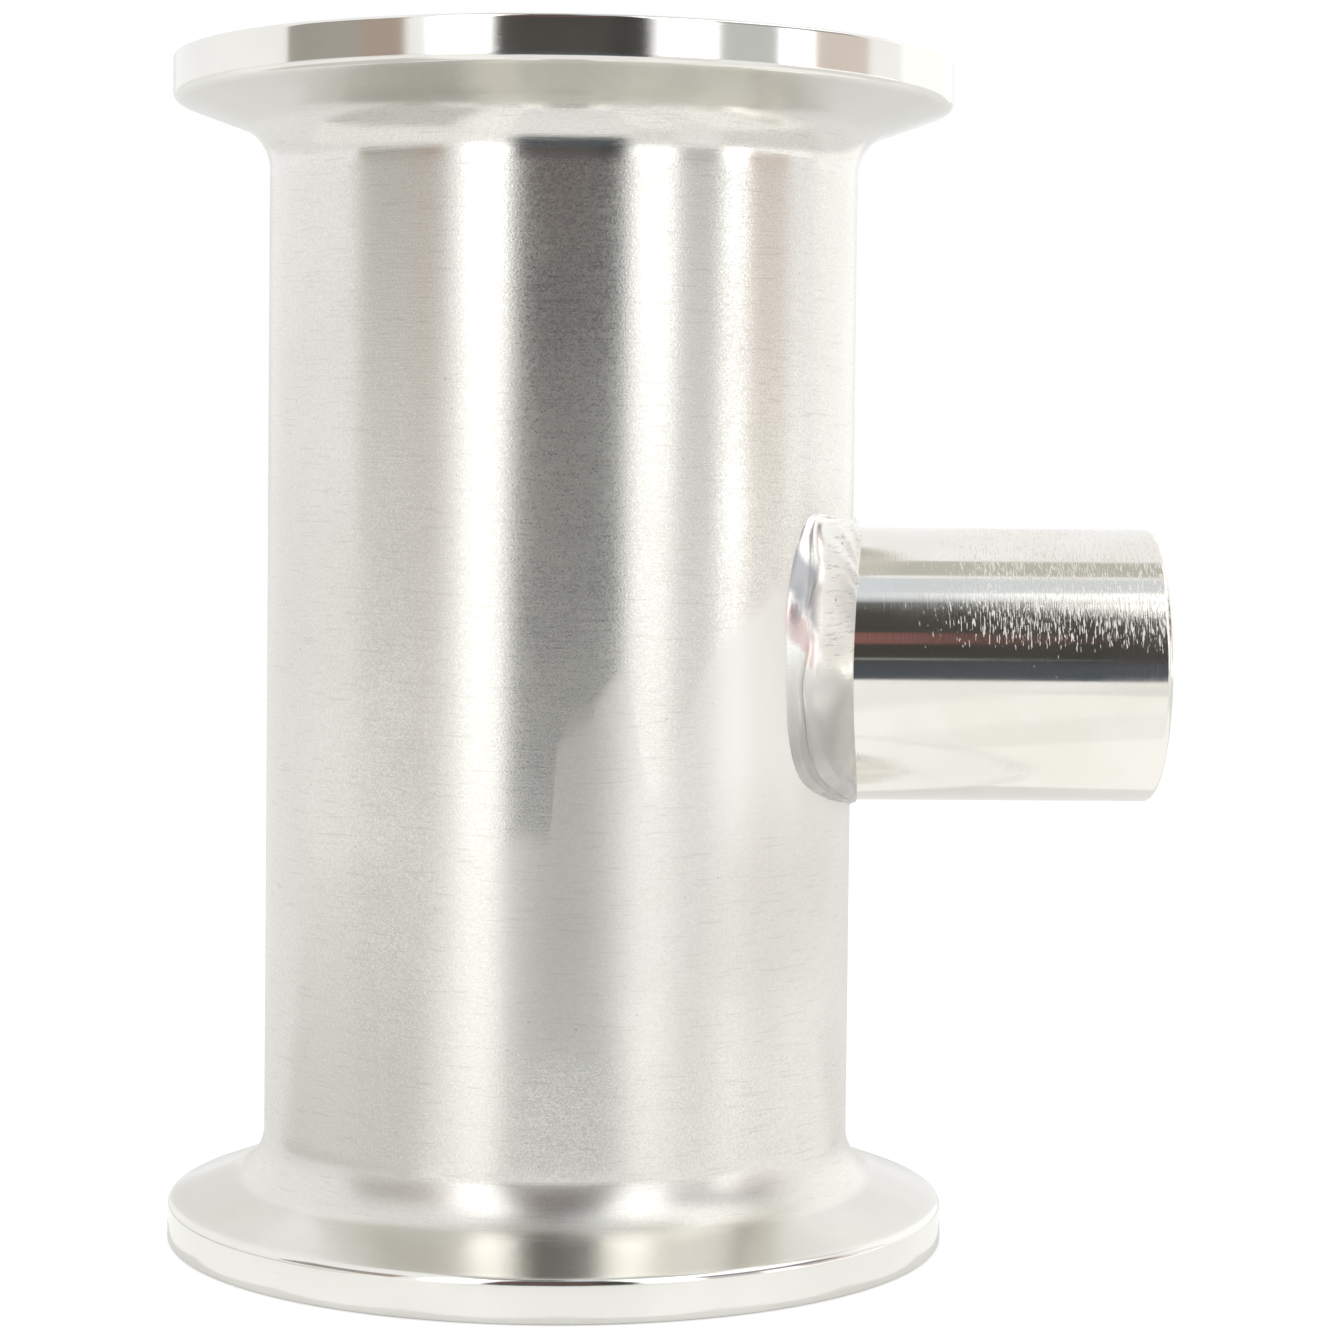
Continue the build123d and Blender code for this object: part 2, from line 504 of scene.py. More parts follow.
def ferrule_finish(name, face_height, way, shade, fillet_rough):
    """Polished rim and taper, turned seal face, and a neck that runs into the tube's brushing.

    face_height is the sealing face's z, and way is +1 where the ferrule rises from it. shade is
    painted shade that darkens the taper's colour, and fillet_rough is the roughness of the hollow between
    taper and neck."""
    material, tree, shader = blank_material(name)
    place = object_vector(tree)
    from_face = times(minus(split_vector(place)[2], face_height), way)
    on_back, on_fillet, past_fillet, on_neck = (
        smooth_mask(from_face, *zone) for zone in (BACK_STARTS, FILLET_STARTS, FILLET_ENDS, NECK_STARTS)
    )
    turned = group(BRUSHING, Vector=place, Spacing=0.05 * MM, Length=7.0 * MM, Density=0.25)
    patches = group(CLOUDS, Vector=place, Size=7 * MM, Seed=8.0)[0]
    brushed_colour, brushed_rough, lines, grain = brushed_layer(place)
    # shade scales the taper's colour down: painted shade, strongest on the upper ferrule, whose taper faces
    # down
    dull, clear = ([shade * c for c in tone] for tone in TAPER_STEEL)
    back = mix_colour(on_fillet, mix_colour(patches, dull, clear), brushed_colour)
    colour = mix_colour(on_back, mix_colour(patches, *RIM_STEEL), back)
    colour = mix_colour(times(turned["Lines"], TURNED_TINT), colour, TURNED_LINE)
    colour = mix_colour(on_neck, colour, brushed_colour)
    in_fillet = minus(on_fillet, past_fillet)
    polish = mix_value(in_fillet, mix_value(patches, *POLISH_ROUGH), fillet_rough)
    rough = times_plus(turned["Height"], TURNED_ROUGH, mix_value(on_back, RIM_ROUGH, polish))
    rough = mix_value(on_neck, rough, brushed_rough)
    polished = times(turned["Height"], mix_value(on_back, *RIM_AND_TAPER_SHARES))
    relief = mix_value(on_neck, polished, times_plus(grain, GRAIN_SHARE, lines))
    finish_steel(tree, shader, colour, rough, relief, BRUSHED_RELIEF)
    stretch_highlights(tree, shader, "Z", BRUSHED_STRETCH)
    return material


def port_finish():
    """Polished steel with fine turning lines and short scratches that thicken towards the mouth."""
    material, tree, shader = blank_material("polished_port_steel")
    along, across, height = split_vector(object_vector(tree))
    up = minus(height, PORT_HEIGHT)
    place = join_vector(across, up, along)
    upper = smooth_mask(up, *SCRATCHED_ABOVE)
    density = ramp_value(along, *SCRATCHES_ALONG, *SCRATCH_DENSITY)
    density = times(density, mix_value(upper, SCRATCHES_BELOW, 1.0))
    turned = group(BRUSHING, Vector=place, Spacing=0.06 * MM, Length=7.0 * MM, Density=0.2)
    scratches = group(BRUSHING, Vector=place, Spacing=0.062 * MM, Length=0.9 * MM, Density=density)
    patches = group(CLOUDS, Vector=place, Size=5 * MM, Seed=1.0)[0]
    colour = mix_colour(patches, *PORT_STEEL)
    rough = mix_value(patches, *PORT_ROUGH)
    rough = plus(rough, times(scratches["Lines"], SCRATCH_ROUGH))
    fine = times(turned["Height"], PORT_LINE_SHARE)
    relief = times_plus(scratches["Lines"], SCRATCH_DEPTH, fine)
    finish_steel(tree, shader, colour, rough, relief, PORT_RELIEF)
    stretch_highlights(tree, shader, "X", PORT_STRETCH)
    return material


def weld_finish():
    """Melted weld metal, smoothed by hand: sanded beside the boss, a pink heat tint and a lilac-grey painted
    shade on the toe bead, and painted shade on its lower part.
    """
    material, tree, shader = blank_material("ground_weld_steel")
    place = object_vector(tree)
    along, _, height = split_vector(place)
    lines = group(BRUSHING, Vector=place, Spacing=0.16 * MM, Length=2.6 * MM, Density=0.42)["Height"]
    patches = group(CLOUDS, Vector=place, Size=3.2 * MM, Seed=5.0)[0]
    specks = group(SPECKS, Vector=place, Size=0.11 * MM, Share=0.03)[0]
    near_boss = smooth_mask(along, *WELD_SANDED_PAST)
    sanded = times(smooth_mask(height, *WELD_SANDED_ABOVE), near_boss)
    on_bead = smooth_mask(along, *WELD_BEAD_BEFORE)
    slant = times_plus(along, TINT_SLANT, height)
    slant = times_plus(patches, TINT_WANDER, slant)
    pink = times(between(slant, *PINK_TINT), on_bead)
    # Painted shade: a lilac-grey band on the bead's lower facet
    lilac_shade = times(between(slant, *LILAC_SHADE_BAND), on_bead)
    low = mix_colour(patches, *WELD_PAINTED_SHADE_STEEL)
    high = mix_colour(patches, *WELD_HIGH_STEEL)
    # Painted shade: the weld is darker below this height
    colour = mix_colour(smooth_mask(height, *WELD_SHADE_FADES_ABOVE), low, high)
    colour = mix_colour(times(pink, PINK_STRENGTH), colour, HEAT_PINK)
    colour = mix_colour(times(lilac_shade, LILAC_SHADE_STRENGTH), colour, LILAC_PAINTED_SHADE)
    streaks = times(smooth_mask(lines, *WELD_STREAKS), times(sanded, STREAK_TINT))
    colour = mix_colour(streaks, colour, WELD_STREAK)
    colour = mix_colour(specks, colour, WELD_PIT)
    rough = mix_value(sanded, mix_value(patches, *WELD_ROUGH), SANDED_WELD_ROUGH)
    rough = mix_value(lilac_shade, rough, LILAC_SHADE_ROUGH)
    relief = times(lines, mix_value(sanded, *WELD_SHARES))
    finish_steel(tree, shader, colour, rough, relief, WELD_RELIEF)
    return material


# Turned shapes: a section is sampled point by point and swept round an axis


def spread(low, high, steps):
    """Even steps from one value to another, with both ends."""
    return [low + (high - low) * k / steps for k in range(steps + 1)]


def rounded_section(corners):
    """Rounds a closed run of (across, along, radius) corners. The first point comes again last."""
    points = []
    count = len(corners)
    for i, (across, along, radius) in enumerate(corners):
        here = Vector((across, along))
        if radius == 0:
            points.append(here)
            continue
        back = Vector(corners[i - 1][:2]) - here
        ahead = Vector(corners[(i + 1) % count][:2]) - here
        back_way, ahead_way = back.normalized(), ahead.normalized()
        half = back_way.angle(ahead_way) / 2
        reach = radius / math.tan(half)
        centre = here + (back_way + ahead_way).normalized() * radius / math.sin(half)
        start = here + back_way * reach - centre
        end = here + ahead_way * reach - centre
        turn = start.angle_signed(end)
        if reach + 2 * EDGE_GUARD < back.length:
            points.append(here + back_way * (reach + EDGE_GUARD))
        steps = ROUND_STEPS if radius < MM else NECK_STEPS
        for k in range(steps + 1):
            arm = start.copy()
            arm.rotate(Matrix.Rotation(-turn * k / steps, 2))
            points.append(centre + arm)
        if reach + 2 * EDGE_GUARD < ahead.length:
            points.append(here + ahead_way * (reach + EDGE_GUARD))
    return points + [points[0]]


def ferrule_section():
    """Half section of the lower ferrule, from its bore round the sealing face to its neck."""
    rise = (RIM_RADIUS - TUBE_RADIUS) * math.tan(CLAMP_ANGLE)
    groove_low = GROOVE_DEPTH - GROOVE_RADIUS
    half_arc = math.acos(-groove_low / GROOVE_RADIUS)
    groove = []
    for k in range(GROOVE_STEPS + 1):
        angle = half_arc * (2 * k / GROOVE_STEPS - 1)
        across = GROOVE_CENTRE + GROOVE_RADIUS * math.sin(angle)
        edge = GROOVE_EDGE if k in (0, GROOVE_STEPS) else 0
        groove.append((across, groove_low + GROOVE_RADIUS * math.cos(angle), edge))
    return rounded_section([
        (BORE_RADIUS, 0, BORE_EDGE),
        *groove,
        (RIM_RADIUS, 0, FACE_EDGE),
        (RIM_RADIUS, RIM_THICKNESS, BACK_EDGE),
        (TUBE_RADIUS, RIM_THICKNESS + rise, NECK_RADIUS),
        (TUBE_RADIUS, SEAM_LOW, 0),
        (BORE_RADIUS, SEAM_LOW, 0),
    ])


def tube_section():
    """Half section of the tube between its two seams, with a few loops along it."""
    heights = spread(SEAM_LOW, SEAM_HIGH, TUBE_LOOPS)
    outside = [Vector((TUBE_RADIUS, z)) for z in heights]
    inside = [Vector((BORE_RADIUS, z)) for z in reversed(heights)]
    return outside + inside + [outside[0]]


def port_section():
    """Half section of the boss about its own axis: (radius, station along the boss)."""
    thread_end = PORT_REACH - TAPPED_DEPTH
    mouth_start = PORT_REACH - (MOUTH_RADIUS - TAPPED_RADIUS)
    stations = int((mouth_start - thread_end) / THREAD_STATION)
    drilled = spread(COPE_FOOT, thread_end - DRILL_SLOPE, PORT_LOOPS)
    mouth = zip(
        spread(TAPPED_RADIUS, MOUTH_RADIUS, MOUTH_LOOPS),
        spread(mouth_start, PORT_REACH, MOUTH_LOOPS),
    )
    return rounded_section([
        *((DRILLED_RADIUS, x, 0) for x in drilled),
        *((TAPPED_RADIUS, x, 0) for x in spread(thread_end, mouth_start, stations)),
        *[(radius, x, 0) for radius, x in mouth][1:-1],
        (MOUTH_RADIUS, PORT_REACH, MOUTH_EDGE),
        (PORT_RADIUS, PORT_REACH, PORT_EDGE),
        *((PORT_RADIUS, x, 0) for x in spread(PORT_REACH - MM, COPE_FOOT, PORT_LOOPS)[1:]),
    ])


def shape_tree(name, inputs):
    """Makes a geometry group, whose last input is the material that its shape gets."""
    return new_tree(name, {**inputs, "Finish": "Material"}, {"Geometry": "Geometry"}, "GeometryNodeTree")


def end_shape(tree, given, out, shape):
    """Ends a geometry group: real geometry with one material."""
    real = node("GeometryNodeRealizeInstances", {"Geometry": shape}).outputs[0]
    done = node("GeometryNodeSetMaterial", {"Geometry": real, "Material": given["Finish"]})
    tree.links.new(done.outputs[0], out[0])
    return tree


def swept_grid(tree, section, segments):
    """A grid whose rows are a section's points, swept round the axis."""
    count = node("GeometryNodeAttributeDomainSize", {"Geometry": section}).outputs["Point Count"]
    grid = node("GeometryNodeMeshGrid", {
        "Size X": 1.0, "Size Y": 1.0, "Vertices X": count, "Vertices Y": plus(segments, 1.0),
    }).outputs["Mesh"]
    position = node("GeometryNodeInputPosition", tree=tree).outputs[0]
    row, column, _ = split_vector(position)
    index = calc("ROUND", times(plus(row, 0.5), minus(count, 1.0)))
    sampled = node(
        "GeometryNodeSampleIndex", {"Geometry": section, "Value": position, "Index": index},
        data_type="FLOAT_VECTOR", domain="POINT",
    ).outputs[0]
    radius, _, height = split_vector(sampled)
    angle = times(plus(column, 0.5), math.tau)
    cosine, sine = calc("COSINE", angle), calc("SINE", angle)
    swept = join_vector(times(radius, cosine), times(radius, sine), height)
    return node("GeometryNodeSetPosition", {"Geometry": grid, "Position": swept}).outputs[0]


def lathe_tree():
    """Sweeps a section object round the axis, then turns and lifts the result into place."""
    tree, given, out = shape_tree("turned_on_a_lathe", {
        "Section": "Object", "Segments": LATHE_SEGMENTS, "Foot": "Vector", "Turn": "Vector",
    })
    section = node("GeometryNodeObjectInfo", {"Object": given["Section"]}).outputs["Geometry"]
    turned = swept_grid(tree, section, given["Segments"])
    closed = node("GeometryNodeMergeByDistance", {"Geometry": turned, "Distance": MERGE_DISTANCE}).outputs[0]
    placed = node("GeometryNodeTransform", {
        "Geometry": closed, "Translation": given["Foot"], "Rotation": given["Turn"],
    }).outputs[0]
    smooth = node("GeometryNodeSetShadeSmooth", {"Geometry": placed}).outputs[0]
    bend = node("GeometryNodeInputMeshEdgeAngle", tree=tree).outputs["Unsigned Angle"]
    corner = calc("GREATER_THAN", bend, SHARP_CORNER)
    creased = node(
        "GeometryNodeSetShadeSmooth",
        {"Geometry": smooth, "Selection": corner, "Shade Smooth": False}, domain="EDGE",
    ).outputs[0]
    return end_shape(tree, given, out, creased)


def thread_tree():
    """Cuts a helical thread into a bore along X, and copes the boss on the tube."""
    sizes = (
        "Axis Height", "Pitch", "Depth", "Bore Radius", "Thread End", "Run Out",
        "Cope Radius", "Cope Foot", "Cope Length",
    )
    tree, given, out = shape_tree("thread_and_cope", {
        "Geometry": "Geometry", **dict.fromkeys(sizes, "Float"),
    })
    height, pitch, depth, bore, thread_end, run_out, cope, foot, length = (given[name] for name in sizes)
    x, y, z = split_vector(node("GeometryNodeInputPosition", tree=tree).outputs[0])
    up = minus(z, height)
    radius = calc("SQRT", plus(times(y, y), times(up, up)))
    turns = over(calc("ARCTAN2", up, y), math.tau)
    flank = calc("PINGPONG", minus(over(x, pitch), turns), 0.5)
    wave = ramp_value(flank, *THREAD_FLANK)
    run_in = smooth_mask(x, thread_end, plus(thread_end, run_out))
    cut_radius = plus(bore, times(wave, run_in, depth))
    wanted = times(cut_radius, calc("GREATER_THAN", x, thread_end))
    grown = over(calc("MAXIMUM", radius, wanted), radius)
    room = minus(times(cope, cope), times(y, y))
    station = calc("SQRT", calc("MAXIMUM", room, 0.0))
    share = over(minus(x, foot), length)
    pull = calc("MAXIMUM", minus(1.0, share), 0.0)
    coped = times_plus(minus(station, foot), pull, x)
    risen = plus(times(up, grown), height)
    moved = join_vector(coped, times(y, grown), risen)
    shaped = node("GeometryNodeSetPosition", {"Geometry": given["Geometry"], "Position": moved})
    return end_shape(tree, given, out, shaped.outputs[0])


def drill_tree():
    """Takes a round hole along X out of a wall."""
    tree, given, out = shape_tree("cross_drilled", {
        "Geometry": "Geometry", "Hole Radius": "Float", "Hole Height": "Float", "Hole Depth": "Float",
        "Segments": DRILL_SEGMENTS,
    })
    drill = node("GeometryNodeMeshCylinder", {
        "Vertices": given["Segments"], "Radius": given["Hole Radius"], "Depth": given["Hole Depth"],
    }).outputs["Mesh"]
    centre = join_vector(times(given["Hole Depth"], 0.5), 0.0, given["Hole Height"])
    laid = node("GeometryNodeTransform", {
        "Geometry": drill, "Translation": centre, "Rotation": (0.0, math.pi / 2, 0.0),
    }).outputs[0]
    drilled = node(
        "GeometryNodeMeshBoolean", {"Mesh 1": given["Geometry"], "Mesh 2": laid},
        operation="DIFFERENCE", solver="EXACT",
    )
    return end_shape(tree, given, out, drilled.outputs["Mesh"])


def show(name, data):
    """Puts a new object in the scene."""
    made = bpy.data.objects.new(name, data)
    bpy.context.scene.collection.objects.link(made)
    return made


def section_object(name, points):
    """A chain of vertices that the lathe tree samples."""
    mesh = bpy.data.meshes.new(name)
    chain = [(across, 0.0, along) for across, along in points]
    mesh.from_pydata(chain, [(i, i + 1) for i in range(len(chain) - 1)], [])
    return show(name, mesh)


def make_piece(name, finish, trees, spare=()):
    """Evaluates a chain of trees into one plain mesh object and clears what made it."""
    holder = show(name + "_maker", bpy.data.meshes.new(name + "_maker"))
    for tree, values in trees:
        modifier = holder.modifiers.new(tree.name, "NODES")
        modifier.node_group = tree
        for item in tree.interface.items_tree:
            if item.in_out == "INPUT" and item.name in values:
                modifier[item.identifier] = values[item.name]
            elif item.name == "Finish":
                modifier[item.identifier] = finish
    graph = bpy.context.evaluated_depsgraph_get()
    mesh = bpy.data.meshes.new_from_object(holder.evaluated_get(graph), depsgraph=graph)
    mesh.name = name
    for used in (holder, *spare):
        bpy.data.objects.remove(used)
    return face_outwards(show(name, mesh))


def face_outwards(piece):
    """Turns a closed mesh's faces round where its volume comes out negative."""
    mesh = piece.data
    mesh.calc_loop_triangles()
    volume = 0.0
    for triangle in mesh.loop_triangles:
        a, b, c = (mesh.vertices[i].co for i in triangle.vertices)
        volume += a.dot(b.cross(c))
    if volume < 0:
        mesh.flip_normals()
    return piece


# Weld round the boss. Angles run round the boss from +Y over the top. At each angle the
# weld starts at its toe on the tube and ends where it meets the boss. It was laid as a low
# bead along the toe and a broad one over the root. Reaches and heights are in millimetres.
TOE_REACH = (
    (0, 13.2), (22, 13.6), (36, 13.9), (50, 12.8), (66, 10.9), (90, 9.75), (114, 10.3),
    (126, 12.0), (134, 13.6), (138, 14.8), (142, 15.1), (150, 14.7), (160, 14.0), (172, 13.42),
    (186, 13.3), (197, 13.6), (204, 13.8), (209, 13.75), (214, 13.25), (220, 12.4), (228, 11.3),
    (238, 10.2), (252, 9.5), (270, 9.12), (290, 9.7), (306, 11.4), (322, 13.2), (340, 13.2),
)
# Height of the toe bead
TOE_BEAD = (
    (0, 0.7), (30, 0.6), (60, 0.25), (90, 0.06), (118, 0.08), (132, 0.14), (141, 0.42),
    (150, 0.95), (160, 1.10), (168, 1.05), (174, 0.82), (183, 0.62), (196, 0.52), (215, 0.42),
    (240, 0.22), (270, 0.08), (300, 0.3), (330, 0.6),
)
# Where the two beads meet, as a share of the way from toe to boss
CREASE = (
    (0, 0.25), (60, 0.3), (98, 0.12), (120, 0.06), (140, 0.10), (153, 0.28), (159, 0.20), (163, 0.14),
    (171, 0.26), (180, 0.24), (190, 0.26), (200, 0.30), (240, 0.3), (300, 0.25),
)
WELD_STEPS_ROUND = 360
WELD_STEPS_ACROSS = 44
WELD_CROWDING = 1.6
WELD_ON_FLANK = 18.35 * MM
WELD_ON_CROWN = 19.4 * MM
WELD_ROOT = 0.5 * MM
WELD_INTO_TUBE = 0.015 * MM
WELD_INTO_BOSS = 0.02 * MM

# Where each form of the weld rises or falls. The bead and body are by share of the way to
# the crease, the ends and the rough part by share of the way to the boss, the fan by angle.
BEAD_RISES = (0.0, 0.30)
BEAD_FALLS = (0.45, 1.15)
BEAD_FALL = 0.55
BODY_RISES = (0.35, 1.25)
BODY_START = 0.34
BODY_CROWN = 0.16
BEAD_BLEND = 0.0016
BEAD_BLEND_LIFT = 0.02
TOE_RISES = (0.0, 0.012)
BOSS_CLOSES = (0.93, 1.0)
ROUGH_PAST_TOE = (0.0, 0.1)
ROUGH_BEFORE_BOSS = (1.0, 0.9)
FAN_STARTS = (108, 124)
FAN_ENDS = (158, 144)
FAN_PAST_TOE = (0.02, 0.25)
FAN_HEIGHT = 0.12
FAN_RIDGE = 0.30
RIDGE_SCALE = (0.20, 1.1)
RIDGE_SEED = 4.0
UNEVEN_HEIGHT = 0.10
UNEVEN_SCALE = 0.45
UNEVEN_SHIFT = Vector((3.1, 0, 1))


def round_table(table, angle):
    """A smooth value at an angle from a closed table of (degrees, value)."""
    count = len(table)
    for i in range(count):
        here = table[i][0]
        ahead = table[(i + 1) % count][0] + (360 if i == count - 1 else 0)
        if here <= angle <= ahead:
            before, start, end, after = (table[(i + k) % count][1] for k in (-1, 0, 1, 2))
            t = (angle - here) / (ahead - here)
            slope_in, slope_out = (end - before) / 2, (after - start) / 2
            blend = t * t * (3 - 2 * t)
            return (
                start + (end - start) * blend
                + slope_in * t * (1 - t) ** 2
                - slope_out * t * t * (1 - t)
            )
    return table[0][1]


def tube_station(y):
    """X of the tube's outer surface at a given y."""
    return math.sqrt(max(TUBE_RADIUS ** 2 - y ** 2, 0.0))


def smooth_step(value, low, high):
    """0 below low, 1 above high, and a smooth step between."""
    t = min(1.0, max(0.0, (value - low) / (high - low)))
    return t * t * (3 - 2 * t)


def weld_lift(s, angle, place, lift_end):
    """How far the weld stands off the tube, in metres, at a share s of the way to the boss."""
    share = s / round_table(CREASE, angle)
    bead = round_table(TOE_BEAD, angle) * smooth_step(share, *BEAD_RISES)
    bead *= 1 - BEAD_FALL * smooth_step(share, *BEAD_FALLS)
    root = lift_end / MM
    body = root * (BODY_START + (1 - BODY_START) * s) + BODY_CROWN * math.sin(math.pi * s)
    body *= smooth_step(share, *BODY_RISES)
    gap = bead - body
    lift = 0.5 * (bead + body + math.sqrt(gap * gap + BEAD_BLEND)) - BEAD_BLEND_LIFT
    lift = lift * smooth_step(s, *TOE_RISES) + (root - lift) * smooth_step(s, *BOSS_CLOSES)
    inside = smooth_step(s, *ROUGH_PAST_TOE) * smooth_step(s, *ROUGH_BEFORE_BOSS)
    fan = smooth_step(angle, *FAN_STARTS) * smooth_step(angle, *FAN_ENDS) * smooth_step(s, *FAN_PAST_TOE)
    ridges = FAN_RIDGE * noise.noise(Vector((angle * RIDGE_SCALE[0], s * RIDGE_SCALE[1], RIDGE_SEED)))
    uneven = UNEVEN_HEIGHT * noise.noise(place * UNEVEN_SCALE + UNEVEN_SHIFT)
    return (lift + inside * (uneven + fan * (FAN_HEIGHT + ridges))) * MM


def weld_ring(angle):
    """One cross-section of the weld: across its face from toe to boss, then back inside."""
    turn = math.radians(angle)
    cos, sin = math.cos(turn), math.sin(turn)
    toe = round_table(TOE_REACH, angle) * MM
    on_boss = WELD_ON_CROWN + (WELD_ON_FLANK - WELD_ON_CROWN) * cos * cos
    lift_end = on_boss - tube_station(PORT_RADIUS * cos)
    ring = []
    for k in range(WELD_STEPS_ACROSS + 1):
        s = (k / WELD_STEPS_ACROSS) ** WELD_CROWDING
        reach = toe + (PORT_RADIUS - WELD_INTO_BOSS - toe) * s
        y, up = reach * cos, reach * sin
        lift = weld_lift(s, angle, Vector((y, up, 0.0)) / MM, lift_end)
        ring.append(Vector((tube_station(y) - WELD_INTO_TUBE * (1 - s) + lift, y, PORT_HEIGHT + up)))
    inner = PORT_RADIUS - WELD_ROOT
    for x, reach in (
        (ring[-1].x, inner),
        (tube_station(inner * cos) - WELD_ROOT, inner),
        (tube_station(toe * cos) - WELD_ROOT, toe),
    ):
        ring.append(Vector((x, reach * cos, PORT_HEIGHT + reach * sin)))
    return ring


def weld_piece(finish):
    """The weld as one closed ring round the boss."""
    rings = [weld_ring(360 * i / WELD_STEPS_ROUND) for i in range(WELD_STEPS_ROUND)]
    across = len(rings[0])
    faces = []
    for i in range(WELD_STEPS_ROUND):
        ahead = (i + 1) % WELD_STEPS_ROUND
        for k in range(across):
            step = (k + 1) % across
            faces.append((i * across + k, ahead * across + k, ahead * across + step, i * across + step))
    mesh = bpy.data.meshes.new("fillet_weld")
    mesh.from_pydata([p for ring in rings for p in ring], [], faces)
    mesh.materials.append(finish)
    mesh.shade_smooth()
    return face_outwards(show("fillet_weld", mesh))


def build_spool():
    """Makes every piece, hangs each on the root body, and hides the CAD node it stands for. The slot listed
    with each is not used.
    """
    lathe, thread, drill = lathe_tree(), thread_tree(), drill_tree()
    tube_finish = brushed_tube_finish()
    # The shade values are painted shade on the tapers: the upper taper faces down and is painted darker
    lower_finish = ferrule_finish("lower_ferrule_steel", 0.0, 1.0, shade=0.97, fillet_rough=0.33)
    upper_finish = ferrule_finish("upper_ferrule_steel", SPOOL_LENGTH, -1.0, shade=0.86, fillet_rough=0.12)
    boss_finish = port_finish()

    section = section_object("ferrule_section", ferrule_section())
    lower = make_piece("turned_lower_ferrule", lower_finish, [(lathe, {"Section": section})])
    upper = make_piece("turned_upper_ferrule", upper_finish, [
        (lathe, {"Section": section, "Foot": (0.0, 0.0, SPOOL_LENGTH), "Turn": (math.pi, 0.0, 0.0)}),
    ], spare=[section])

    section = section_object("tube_section", tube_section())
    tube = make_piece("brushed_tube_body", tube_finish, [
        (lathe, {"Section": section}),
        (drill, {"Hole Radius": DRILLED_RADIUS, "Hole Height": PORT_HEIGHT, "Hole Depth": 1.5 * TUBE_RADIUS}),
    ], spare=[section])

    section = section_object("port_section", port_section())
    port = make_piece("tapped_side_boss", boss_finish, [
        (lathe, {"Section": section, "Segments": PORT_SEGMENTS, "Foot": (0.0, 0.0, PORT_HEIGHT),
                 "Turn": (0.0, math.pi / 2, 0.0)}),
        (thread, {"Axis Height": PORT_HEIGHT, "Pitch": THREAD_PITCH, "Depth": THREAD_DEPTH,
                  "Bore Radius": TAPPED_RADIUS, "Thread End": PORT_REACH - TAPPED_DEPTH,
                  "Run Out": THREAD_RUN_OUT, "Cope Radius": TUBE_RADIUS, "Cope Foot": COPE_FOOT,
                  "Cope Length": COPE_LENGTH}),
    ], spare=[section])

    weld = weld_piece(weld_finish())
    for piece, cad_node, slot in (
        (lower, "lower_ferrule", "polished_ferrule"),
        (upper, "upper_ferrule", "polished_ferrule"),
        (tube, "tube", "brushed_tube"),
        (port, "side_port", "polished_port"),
        (weld, "port_weld", "ground_weld"),
    ):
        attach(piece, "root")
        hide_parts(cad_node)


# Studio: a pale floor, a white surround, soft lamps, and cards that the metal reflects.
# Azimuths are seen from the spool: 0 is towards the camera and positive is towards +X.
CARD_RADIUS = 0.5
CARD_TOP = 0.9
CARD_STEPS = 16
CARD_LIFT = 0.3 * MM
CEILING_HEIGHT = 1.2
FLOOR_SIZE = 6.0
FLOOR_LEVEL = -0.05 * MM
FLOOR_COLOUR = (0.87, 0.87, 0.855, 1.0)
FLOOR_GLOW = 1.2
FLOOR_GLOW_SHARE = 0.6
WHITE = (1.0, 1.0, 1.0, 1.0)
WORLD_AS_LIGHT = 0.98
LAMP_DISTANCE = 0.46

# Name, azimuth, height, width, length and radiance
SOFTBOXES = (
    ("softbox_left", -30.4, 0.30, 0.165, 0.62, 1.15),
    ("softbox_right", 33, 0.27, 0.15, 0.50, 0.97),
    ("strip_far_right", 66.5, 0.09, 0.095, 0.16, 0.97),
)
# Cards on the floor, seen low on the tube, the ferrules and the boss: name, first and last
# azimuth, near and far distance, and brightness of their warm white
FLOOR_WHITE = (1.0, 0.995, 0.96)
FLOOR_CARDS = (
    ("left_gleam_near", -41, -21, 0.035, 0.11, 1.08),
    ("left_gleam_far", -39, -20, 0.11, 0.46, 1.06),
    ("left_floor_near", -112, -46, 0.035, 0.11, 0.67),
    ("left_floor_far", -112, -45, 0.11, 0.46, 0.98),
    ("right_gleam_near", 24, 42, 0.035, 0.11, 1.04),
    ("right_gleam_far", 24, 41, 0.11, 0.46, 0.87),
    ("right_between_near", 42, 60, 0.035, 0.09, 0.98),
    ("far_right_gleam_near", 60, 112, 0.035, 0.11, 1.06),
    ("far_right_gleam_far", 60, 112, 0.11, 0.46, 0.82),
)
# What stands behind the camera, by height
BEHIND_CAMERA_DARK = (0.080, 0.092, 0.105)
BEHIND_CAMERA = (
    (0.0, BEHIND_CAMERA_DARK),
    (0.045, BEHIND_CAMERA_DARK),
    (0.10, (0.058, 0.055, 0.049)),
    (0.50, (0.070, 0.067, 0.060)),
    (0.70, (0.13, 0.13, 0.125)),
    (0.80, (0.55, 0.57, 0.60)),
    (0.92, (0.73, 0.77, 0.81)),
)
